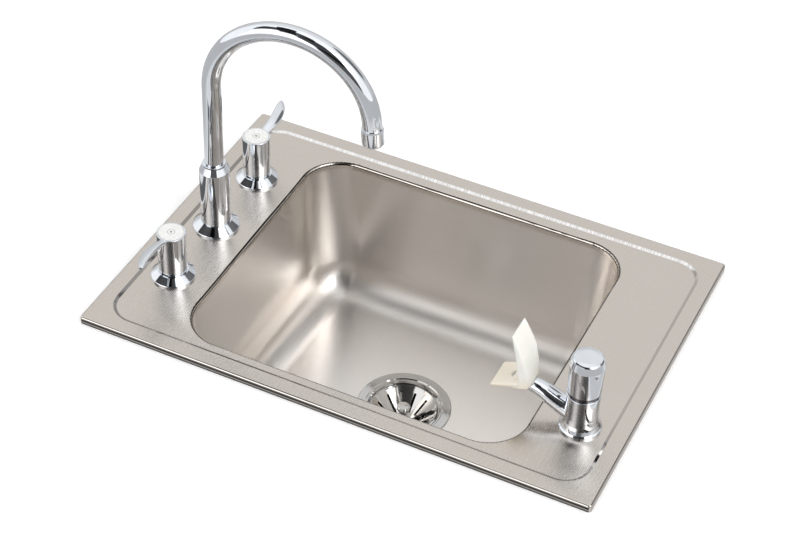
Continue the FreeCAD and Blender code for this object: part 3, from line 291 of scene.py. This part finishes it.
def edge_colors(tree, place, steel):
    # Painted shade on the ends, and bands of painted shade with a painted highlight near the top along the
    # rolled front and back edges.
    x, y, z = place
    ends = blend_color(tree, at_side(tree, x, RIM_HALF[0]), steel, END_SHADE)
    rolled = ROLLED_FOOT_SHADE
    for span, color in ROLLED_SHADE_AND_HIGHLIGHT_BANDS:
        rolled = blend_color(tree, ramp(tree, z, span), rolled, color)
    return blend_color(tree, at_side(tree, y, RIM_HALF[1]), ends, rolled)


def bead_colors(tree, coords, place, upness, steel):
    # Bead round the deck: dark painted shade, lighter on the right, a pale painted sheen with painted
    # glints at the back.
    x, y, z = place
    on_right = times(tree, ramp(tree, x, RIGHT_BEAD_X), ramp(tree, y, RIGHT_BEAD_Y))
    bead_shade = blend_color(tree, on_right, BEAD_SHADE, RIGHT_BEAD_LIGHTER_SHADE)
    glint_ticks = ramp(tree, noise(tree, coords, **TICK_GRAIN), TICK_SPAN)
    back = blend_color(tree, glint_ticks, BACK_BEAD_SHEEN, BACK_BEAD_GLINT)
    tone = blend_color(tree, ramp(tree, y, BACK_BEAD_Y), bead_shade, back)
    bead = times(tree, ramp(tree, z, BEAD_RISE), band(tree, upness, *BEAD_FACING))
    return blend_color(tree, bead, steel, tone)


def lip_colors(tree, height, upness, lip, steel):
    # Two dark lines of painted shade along the bowl's turned edge, where its faces tilt by set amounts.
    lines = plus(tree, band(tree, upness, *LIP_OUTER_LINE), band(tree, upness, *LIP_INNER_LINE))
    below_deck = ramp(tree, height, LIP_TOP, FALLING)
    return blend_color(tree, times(tree, lines, times(tree, lip, below_deck)), steel, LIP_SHADE)


def brushed_sink():
    # One sheet: deck brushed front to back, bowl walls brushed level, polished lip; painted light makes the
    # bowl and floor lighter, and painted shade and highlights mark the bead, edges and lip.
    material, tree, shader = new_material("brushed_sink", PLAIN_STEEL, METAL, PLAIN_ROUGHNESS)
    coords = object_coords(tree)
    place = split(tree, coords)
    height = place[2]
    upness = facing_up(tree)
    bowl = ramp(tree, height, BOWL_TOP, FALLING)
    lip = ramp(tree, height, LIP_FOOT)

    grain = blend(tree, "FLOAT", ramp(tree, upness, LEVEL_FACING),
                  noise(tree, coords, **WALL_GRAIN), noise(tree, coords, **DECK_GRAIN))
    tone = blend(tree, "FLOAT", CLOUD_SHARE, grain, noise(tree, coords, CLOUD_SCALE))
    spread = ramp(tree, tone, MIDDLE)
    deck_steel = blend_color(tree, spread, *DECK_STEEL)
    # Painted light: lighter copies of the steel for the bowl's walls and its floor.
    bowl_lit_steel = blend_color(tree, spread, *BOWL_LIT_STEEL)
    floor_lit_steel = blend_color(tree, spread, *FLOOR_LIT_STEEL)
    inside = blend_color(tree, ramp(tree, upness, FLOOR_FACING), bowl_lit_steel, floor_lit_steel)
    color = blend_color(tree, bowl, deck_steel, inside)
    color = edge_colors(tree, place, color)
    color = bead_colors(tree, coords, place, upness, color)
    color = lip_colors(tree, height, upness, lip, color)

    satin = plus(tree, ramp(tree, grain, SATIN_SPAN, SATIN_ROUGHNESS),
                 times(tree, bowl, BOWL_EXTRA_ROUGHNESS))
    polish = times(tree, ramp(tree, upness, LIP_FACING, FALLING), lip)
    coat(tree, shader, color, blend(tree, "FLOAT", polish, satin, LIP_ROUGHNESS))
    shader.inputs["Anisotropic"].default_value = BRUSHED_ANISOTROPY
    tangent = blend(tree, "VECTOR", bowl, DECK_TANGENT, BOWL_TANGENT)
    tree.links.new(tangent, shader.inputs["Tangent"])
    bump(tree, shader, grain, *GRAIN_RELIEF)
    return material


# Other materials

WIPE_MARKS = {"scale": 60.0, "detail": 4.0, "stretch": (1.0, 1.0, 0.4)}
WIPE_SPAN = (0.35, 0.65)
WIPE_TINT = 0.96
WAVES = {"scale": 25.0, "detail": 1.0}
WAVE_RELIEF = (0.02, 0.0005)

SPUN_RINGS = {"scale": 1400.0, "detail": 2.0}
SPUN_TINT = 0.94
SPUN_PLAIN_ROUGHNESS = 0.16
SPUN_ROUGHNESS = (0.05, 0.10)
SPUN_RELIEF = (0.03, 0.0003)

MOTTLE_SLOWNESS = 0.12
MOTTLE_DETAIL = 4.0
MOTTLE_SMOOTHER = 0.06
MOTTLE_ROUGHER = 0.08
MOTTLE_DEPTH = 0.0005

CAP_PLAIN = (0.86, 0.86, 0.84)
CAP_PLAIN_ROUGHNESS = 0.25
CAP_WHITE = ((0.84, 0.84, 0.82), (0.89, 0.89, 0.87))
CAP_SPECK = {"scale": 300.0, "detail": 2.0}
CAP_DOT = (0.10, 0.095, 0.09)
CAP_DOT_R = 0.0013
CAP_RING = (0.42, 0.42, 0.44)
CAP_RING_R = 0.0044
CAP_RING_HALF = 0.0006
CAP_RING_SHARE = 0.6
CAP_LINE_EDGE = (0.7, 1.3)
CAP_ROUGHNESS = (0.2, 0.3)
CAP_RELIEF = (0.03, 0.0003)

GUARD_PLAIN = (0.93, 0.91, 0.84)
GUARD_PLAIN_ROUGHNESS = 0.42
GUARD_PALE = ((0.93, 0.915, 0.845), (0.96, 0.95, 0.895))
GUARD_WARM = (0.88, 0.80, 0.67)
GUARD_WARM_TO_PALE = (0.040, 0.072)
GUARD_SLOW_SCALE = 40.0
GUARD_FINE_SCALE = 900.0
GUARD_ROUGHNESS = (0.36, 0.48)
GUARD_SUBSURFACE = 0.25
GUARD_SUBSURFACE_RADIUS = (0.004, 0.003, 0.002)
GUARD_RELIEF = (0.05, 0.0004)


def polished(name, color, roughness, smear):
    # Polished plate with faint wiping marks.
    material, tree, shader = new_material(name, color, METAL, roughness)
    coords = object_coords(tree)
    marks = noise(tree, coords, **WIPE_MARKS)
    tint = tuple(part * WIPE_TINT for part in color)
    coat(tree, shader, blend_color(tree, ramp(tree, marks, WIPE_SPAN), tint, color),
         ramp(tree, marks, MIDDLE, (roughness, roughness + smear)))
    bump(tree, shader, noise(tree, coords, **WAVES), *WAVE_RELIEF)
    return material


def spun_steel(name, color, center):
    # Polished steel with turning marks about an upright axis.
    material, tree, shader = new_material(name, color, METAL, SPUN_PLAIN_ROUGHNESS)
    coords = object_coords(tree)
    radius = radius_about(tree, coords, center)
    place = add(tree, "ShaderNodeCombineXYZ", {0: radius, 2: split(tree, coords)[2]}).outputs[0]
    rings = noise(tree, place, **SPUN_RINGS)
    tint = tuple(part * SPUN_TINT for part in color)
    coat(tree, shader, blend_color(tree, ramp(tree, rings, MIDDLE), tint, color),
         ramp(tree, rings, MIDDLE, SPUN_ROUGHNESS))
    bump(tree, shader, rings, *SPUN_RELIEF)
    return material


def mottled(name, first, second, metallic, roughness, scale, relief):
    # Cast, moulded or plated surface with slow colour change and fine texture.
    material, tree, shader = new_material(name, first, metallic, roughness)
    coords = object_coords(tree)
    slow = noise(tree, coords, scale * MOTTLE_SLOWNESS)
    fine = noise(tree, coords, scale, MOTTLE_DETAIL)
    coat(tree, shader, blend_color(tree, ramp(tree, slow, MIDDLE), first, second),
         ramp(tree, fine, MIDDLE, (roughness - MOTTLE_SMOOTHER, roughness + MOTTLE_ROUGHER)))
    bump(tree, shader, fine, relief, MOTTLE_DEPTH)
    return material


def index_cap(name, center):
    # White cap with a small grey ring round its dark middle.
    material, tree, shader = new_material(name, CAP_PLAIN, NO_METAL, CAP_PLAIN_ROUGHNESS)
    coords = object_coords(tree)
    radius = radius_about(tree, coords, center)

    def line(middle, half):
        away = size_of(tree, minus(tree, radius, middle))
        return ramp(tree, away, (half * CAP_LINE_EDGE[0], half * CAP_LINE_EDGE[1]), FALLING)

    speck = noise(tree, coords, **CAP_SPECK)
    white = blend_color(tree, ramp(tree, speck, MIDDLE), *CAP_WHITE)
    ring = times(tree, line(CAP_RING_R, CAP_RING_HALF), CAP_RING_SHARE)
    ringed = blend_color(tree, ring, white, CAP_RING)
    coat(tree, shader, blend_color(tree, line(0.0, CAP_DOT_R), ringed, CAP_DOT),
         ramp(tree, speck, MIDDLE, CAP_ROUGHNESS))
    bump(tree, shader, speck, *CAP_RELIEF)
    return material


def guard_material():
    # Ivory moulded elastomer, a little translucent, warmer at its foot.
    material, tree, shader = new_material("guard_ivory", GUARD_PLAIN, NO_METAL, GUARD_PLAIN_ROUGHNESS)
    coords = object_coords(tree)
    slow = noise(tree, coords, GUARD_SLOW_SCALE)
    fine = noise(tree, coords, GUARD_FINE_SCALE)
    pale = blend_color(tree, ramp(tree, slow, MIDDLE), *GUARD_PALE)
    height = split(tree, coords)[2]
    coat(tree, shader, blend_color(tree, ramp(tree, height, GUARD_WARM_TO_PALE), GUARD_WARM, pale),
         ramp(tree, fine, MIDDLE, GUARD_ROUGHNESS))
    shader.inputs["Subsurface Weight"].default_value = GUARD_SUBSURFACE
    shader.inputs["Subsurface Radius"].default_value = GUARD_SUBSURFACE_RADIUS
    shader.inputs["Subsurface Scale"].default_value = 1.0
    bump(tree, shader, fine, *GUARD_RELIEF)
    return material


# Name, colour, roughness, how much rougher the wiping marks are
CHROME = ("chrome_plate", (0.80, 0.83, 0.875), 0.04, 0.03)
# Chrome darkened as painted shade, for the bubbler's groove and nozzle hole
PAINTED_SHADE_CHROME = ("shaded_chrome", (0.20, 0.20, 0.21), 0.08, 0.05)
DRAIN_STEEL = (0.60, 0.595, 0.585)

# By slot: name, two colours, metallic, roughness, scale of the texture, strength of its relief
MOTTLED_SLOTS = {
    "zinc_steel": ("zinc_plate", (0.52, 0.53, 0.54), (0.62, 0.63, 0.65), METAL, 0.34, 400.0, 0.06),
    "brass": ("cast_brass", (0.62, 0.46, 0.22), (0.74, 0.58, 0.31), METAL, 0.36, 700.0, 0.12),
    "grey_plastic": ("grey_plastic", (0.30, 0.31, 0.32), (0.36, 0.37, 0.38), NO_METAL, 0.5, 600.0, 0.06),
    "black_rubber": ("black_rubber", (0.035, 0.035, 0.036), (0.06, 0.06, 0.06), NO_METAL, 0.6, 800.0, 0.10),
    "fibre": ("pressed_fibre", (0.46, 0.24, 0.17), (0.58, 0.33, 0.24), NO_METAL, 0.75, 900.0, 0.2),
}
SLOT_MATERIALS = {slot: mottled(*values) for slot, values in MOTTLED_SLOTS.items()}
SLOT_MATERIALS["brushed_steel"] = brushed_sink()
SLOT_MATERIALS["polished_steel"] = spun_steel("drain_steel", DRAIN_STEEL, BOWL_CENTER)
SLOT_MATERIALS["chrome"] = polished(*CHROME)
SLOT_MATERIALS["ivory_rubber"] = guard_material()

# Pieces that look different from the rest of their slot: white index caps, and chrome darkened with painted
# shade for the bubbler's groove and nozzle hole
painted_shade_chrome = polished(*PAINTED_SHADE_CHROME)
NODE_MATERIALS = {
    "front_index_cap": index_cap("front_cap_white", FRONT_HANDLE),
    "rear_index_cap": index_cap("rear_cap_white", REAR_HANDLE),
    "bubbler_cartridge": painted_shade_chrome,
    "bubbler_nozzle": painted_shade_chrome,
}
for row in frame["record"]["subparts"]:
    piece = nodes[row["node"]]
    material = NODE_MATERIALS.get(row["node"]) or SLOT_MATERIALS[row["material_slot"]]
    piece.data.materials.clear()
    piece.data.materials.append(material)


# Mouth guard: edges softened by modifiers, its mesh untouched

SEAM_GAP = 0.00002
SKIN_VOXEL = 0.0009
SOFTENING = 0.5
SOFTENING_ROUNDS = 14


def mould_edges(piece):
    seam = piece.modifiers.new("closed_seams", "WELD")
    seam.merge_threshold = SEAM_GAP
    skin = piece.modifiers.new("even_skin", "REMESH")
    skin.mode = "VOXEL"
    skin.voxel_size = SKIN_VOXEL
    skin.use_smooth_shade = True
    soft = piece.modifiers.new("moulded_edges", "SMOOTH")
    soft.factor = SOFTENING
    soft.iterations = SOFTENING_ROUNDS


mould_edges(nodes["mouth_guard"])


# Return spring: a wound wire in the room of its plain solid

SPRING_WIRE_R = 0.0008
SPRING_TURNS = 7
SPRING_FLAT_TURNS = 0.8
SPRING_STEPS = 28
SPRING_SIDES = 10
SPRING_SLACK = 0.0003


def wound_wire(name, low, high):
    # Closed tube wound inside the box, lying flat for part of a turn at either end.
    middle = (low + high) / 2
    coil_r = (high.x - low.x) / 2 - SPRING_WIRE_R
    foot = low.z + SPRING_WIRE_R
    rise = high.z - SPRING_SLACK - SPRING_WIRE_R - foot
    sloping_turns = SPRING_TURNS - 2 * SPRING_FLAT_TURNS
    work = bmesh.new()
    rings = []
    for step in range(SPRING_TURNS * SPRING_STEPS + 1):
        turn = 2 * math.pi * step / SPRING_STEPS
        share = min(max((step / SPRING_STEPS - SPRING_FLAT_TURNS) / sloping_turns, 0.0), 1.0)
        outward = Vector((math.cos(turn), math.sin(turn), 0))
        center = Vector((middle.x, middle.y, foot + rise * share)) + outward * coil_r
        ring = []
        for side in range(SPRING_SIDES):
            around = 2 * math.pi * side / SPRING_SIDES
            offset = outward * math.cos(around) + Vector((0, 0, math.sin(around)))
            ring.append(work.verts.new(center + offset * SPRING_WIRE_R))
        rings.append(ring)
    for first, second in zip(rings, rings[1:]):
        for side in range(SPRING_SIDES):
            follow = (side + 1) % SPRING_SIDES
            work.faces.new((first[side], first[follow], second[follow], second[side]))
    work.faces.new(rings[0])
    work.faces.new(rings[-1][::-1])
    bmesh.ops.recalc_face_normals(work, faces=work.faces)
    mesh = bpy.data.meshes.new(name)
    work.to_mesh(mesh)
    work.free()
    for face in mesh.polygons:
        face.use_smooth = True
    return mesh


def coil_spring(node):
    low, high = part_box(node)
    mesh = wound_wire("return_spring_coil", low, high)
    mesh.materials.append(SLOT_MATERIALS["zinc_steel"])
    coil = show("return_spring_coil", mesh)
    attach(coil, body_of(nodes[node])[0])
    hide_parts(node)
    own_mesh(coil)


coil_spring("return_spring")


# Counter with the cut-out that the sink hangs in. Mirrored rays see it as a glow fading with distance from
# the rim, with a painted dark band near the rim.

CORNER_SIGNS = ((-1, -1), (1, -1), (1, 1), (-1, 1))
CUTOUT_HALF = (0.314, 0.215)
COUNTER_HALF = (6.0, 6.0)
COUNTER_WHITE = ((0.84, 0.84, 0.84), (0.86, 0.86, 0.86))
COUNTER_SPECK = {"scale": 60.0, "detail": 2.0}
COUNTER_LIFT = 0.25
MIRRORED_SPAN = (0.05, 0.20)
MIRRORED_LIGHT = (0.85, 0.55)
# Painted dark band on the counter, seen only in reflections, darker on the left.
DARK_BAND_SPAN = ((0.012, 0.016), (0.045, 0.055))
DARK_BAND_X = (0.10, 0.25)
GAP_SHADE = (0.85, 0.25)


def counter_material():
    material = bpy.data.materials.new("counter_white")
    material.use_nodes = True
    tree = material.node_tree
    tree.nodes.remove(tree.nodes["Principled BSDF"])
    coords = object_coords(tree)
    path = add(tree, "ShaderNodeLightPath").outputs

    white = blend_color(tree, noise(tree, coords, **COUNTER_SPECK), *COUNTER_WHITE)
    paint = add(tree, "ShaderNodeBsdfDiffuse", {"Color": white})
    lift = add(tree, "ShaderNodeEmission", {"Strength": times(tree, path["Is Camera Ray"], COUNTER_LIFT)})
    lit = add(tree, "ShaderNodeAddShader", {0: paint.outputs[0], 1: lift.outputs[0]})

    x, y, _ = split(tree, coords)
    beyond_rim = compute(tree, "MAXIMUM", minus(tree, size_of(tree, x), RIM_HALF[0]),
                         minus(tree, size_of(tree, y), RIM_HALF[1]))
    fading = ramp(tree, beyond_rim, MIRRORED_SPAN, MIRRORED_LIGHT)
    # Painted dark band near the rim, for mirrored rays only.
    dark_band = band(tree, beyond_rim, *DARK_BAND_SPAN)
    strength = darken(tree, fading, dark_band, ramp(tree, x, DARK_BAND_X, GAP_SHADE))
    mirrored = add(tree, "ShaderNodeEmission", {"Strength": strength})

    total = add(tree, "ShaderNodeMixShader",
                {0: path["Is Glossy Ray"], 1: lit.outputs[0], 2: mirrored.outputs[0]})
    tree.links.new(total.outputs[0], tree.nodes["Material Output"].inputs["Surface"])
    return material


def counter_top():
    mesh = bpy.data.meshes.new("counter")
    work = bmesh.new()
    inner, outer = ([work.verts.new((sx * half[0], sy * half[1], 0.0)) for sx, sy in CORNER_SIGNS]
                    for half in (CUTOUT_HALF, COUNTER_HALF))
    for index in range(4):
        follow = (index + 1) % 4
        work.faces.new((outer[index], outer[follow], inner[follow], inner[index]))
    work.to_mesh(mesh)
    work.free()
    mesh.materials.append(counter_material())
    counter = show("counter", mesh)


counter_top()


# Camera at the photograph's viewing angle. Angles in degrees, offset in millimetres across, up and away.

CAMERA_AZIMUTH = 24.094
CAMERA_ELEVATION = 41.522
CAMERA_ROLL = 2.485
CAMERA_FOCAL_PX = 2033.559
CAMERA_OFFSET = (13.381, -26.242, 2433.286)
CAMERA_TARGET = (0.0, 0.00385, DECK_Z)
CAMERA_CLIP = (0.05, 50.0)
IMAGE_WIDTH_PX = 800
SENSOR_MM = 36.0
MM_PER_M = 1000.0


def photo_camera():
    azimuth, elevation, roll = (math.radians(a) for a in (CAMERA_AZIMUTH, CAMERA_ELEVATION, CAMERA_ROLL))
    back = Vector((math.sin(azimuth) * math.cos(elevation), -math.cos(azimuth) * math.cos(elevation),
                   math.sin(elevation)))
    level = Vector((0, 0, 1)).cross(back).normalized()
    upright = back.cross(level)
    right = math.cos(roll) * level + math.sin(roll) * upright
    up = math.cos(roll) * upright - math.sin(roll) * level
    across, lift, away = CAMERA_OFFSET
    place = (away * back - across * right - lift * up) / MM_PER_M + Vector(CAMERA_TARGET)
    data = bpy.data.cameras.new("photo_camera")
    data.sensor_fit = "HORIZONTAL"
    data.sensor_width = SENSOR_MM
    data.lens = CAMERA_FOCAL_PX / IMAGE_WIDTH_PX * SENSOR_MM
    data.dof.use_dof = False
    data.clip_start, data.clip_end = CAMERA_CLIP
    camera = show("photo_camera", data)
    camera.matrix_world = Matrix((
        (right.x, up.x, back.x, place.x),
        (right.y, up.y, back.y, place.y),
        (right.z, up.z, back.z, place.z),
        (0, 0, 0, 1),
    ))
    bpy.context.scene.camera = camera


photo_camera()


# Studio: a pale surround with bright patches and dark cards for the metal to mirror, a flag and two lamps.
# Spans in the surround are of a direction's y or z, or cosines of the angle to an aim.

BASE_LIGHT = 1.12
REAR_Y = (0.15, 0.5)
REAR_SHADE = 0.20
REAR_LOW_Z = (0.28, 0.60)
REAR_LOW_SHADE = 0.25
OVERHEAD_Z = (0.80, 0.92)
OVERHEAD_LIGHT = 0.1
FRONT_Y = (-0.8, -0.55)
FRONT_STRIP_Z = ((0.04, 0.12), (0.40, 0.50))
FRONT_STRIP_LIGHT = 0.9

# Aim, edge, light added: at the right for the bowl's back left corner, at the front left for its back wall
BRIGHT_PATCHES = (
    ((0.664, -0.285, 0.663), (0.90, 0.97), 2.8),
    ((-0.32, -0.74, 0.59), (0.80, 0.95), 0.3),
)

# Long card, overhead toward the front left
BAR_AXIS = (0.103, 0.867, 0.488)
BAR_OFFSET = 0.05
BAR_SIDES = (0.20, 0.23)
BAR_AIM = (-0.37, -0.40, 0.84)
BAR_ENDS = (0.84, 0.87)
BAR_SHADE = 0.95

# Aim, edge, share of the light held back: low in front, at the rear right, on the camera's side
DARK_CARDS = (
    ((0.40, -0.90, 0.15), (0.90, 0.93), 0.95),
    ((0.56, 0.67, 0.49), (0.935, 0.96), 0.80),
    ((0.25, -0.72, 0.65), (0.895, 0.925), 0.95),
)

FLAG_LOW = (-0.44, -0.45)
FLAG_HIGH = (-0.24, 0.04)
FLAG_Z = 0.75
FLAG_BLACK = (0.012, 0.012, 0.013)
FLAG_ROUGHNESS = 0.9

# Name, place, width and height
LAMPS = (
    ("key_lamp", (-0.9, 1.6, 1.9), (1.6, 0.9)),
    ("fill_lamp", (1.8, -0.4, 1.5), (1.0, 1.2)),
)
LAMP_AIM = (0.0, 0.0, 0.0)
LAMP_WATTS = 6.0


def studio_world():
    world = bpy.data.worlds.new("studio")
    world.use_nodes = True
    tree = world.node_tree
    direction = add(tree, "ShaderNodeTexCoord").outputs["Generated"]
    _, y, z = split(tree, direction)

    def toward(aim):
        node = add(tree, "ShaderNodeVectorMath", {0: direction, 1: aim}, operation="DOT_PRODUCT")
        return node.outputs["Value"]

    rear = ramp(tree, y, REAR_Y)
    rear_low = times(tree, rear, ramp(tree, z, REAR_LOW_Z, FALLING))
    shade = darken(tree, BASE_LIGHT, rear, REAR_SHADE)
    shade = darken(tree, shade, rear_low, REAR_LOW_SHADE)
    shade = plus(tree, shade, times(tree, ramp(tree, z, OVERHEAD_Z), OVERHEAD_LIGHT))
    strip = times(tree, ramp(tree, y, FRONT_Y, FALLING), band(tree, z, *FRONT_STRIP_Z))
    shade = plus(tree, shade, times(tree, strip, FRONT_STRIP_LIGHT))
    for aim, edge, light in BRIGHT_PATCHES:
        shade = plus(tree, shade, times(tree, ramp(tree, toward(aim), edge), light))
    off_axis = size_of(tree, minus(tree, toward(BAR_AXIS), BAR_OFFSET))
    bar = times(tree, ramp(tree, off_axis, BAR_SIDES, FALLING), ramp(tree, toward(BAR_AIM), BAR_ENDS))
    shade = darken(tree, shade, bar, BAR_SHADE)
    for aim, edge, share in DARK_CARDS:
        shade = darken(tree, shade, ramp(tree, toward(aim), edge), share)

    # The camera itself sees plain white.
    path = add(tree, "ShaderNodeLightPath")
    level = blend(tree, "FLOAT", path.outputs["Is Camera Ray"], shade, 1.0)
    surround = tree.nodes["Background"]
    tree.links.new(level, surround.inputs["Strength"])
    surround.inputs["Color"].default_value = (1.0, 1.0, 1.0, 1.0)
    bpy.context.scene.world = world


def soft_lamp(name, place, size):
    data = bpy.data.lights.new(name, "AREA")
    data.shape = "RECTANGLE"
    data.size, data.size_y = size
    data.energy = LAMP_WATTS
    lamp = show(name, data)
    lamp.location = place
    lamp.rotation_euler = (Vector(LAMP_AIM) - Vector(place)).to_track_quat("-Z", "Y").to_euler()
    lamp.visible_glossy = False


def dark_flag(name, low, high, height):
    # Black flag above the object that shows only in reflections.
    mesh = bpy.data.meshes.new(name)
    corners = ((low[0], low[1]), (high[0], low[1]), (high[0], high[1]), (low[0], high[1]))
    mesh.from_pydata([(x, y, height) for x, y in corners], [], [(0, 1, 2, 3)])
    mesh.materials.append(new_material(name, FLAG_BLACK, NO_METAL, FLAG_ROUGHNESS)[0])
    flag = show(name, mesh)
    flag.visible_camera = False
    flag.visible_diffuse = False
    flag.visible_shadow = False


dark_flag("arch_flag", FLAG_LOW, FLAG_HIGH, FLAG_Z)
studio_world()
for lamp_values in LAMPS:
    soft_lamp(*lamp_values)

bpy.context.scene.view_settings.view_transform = "Standard"
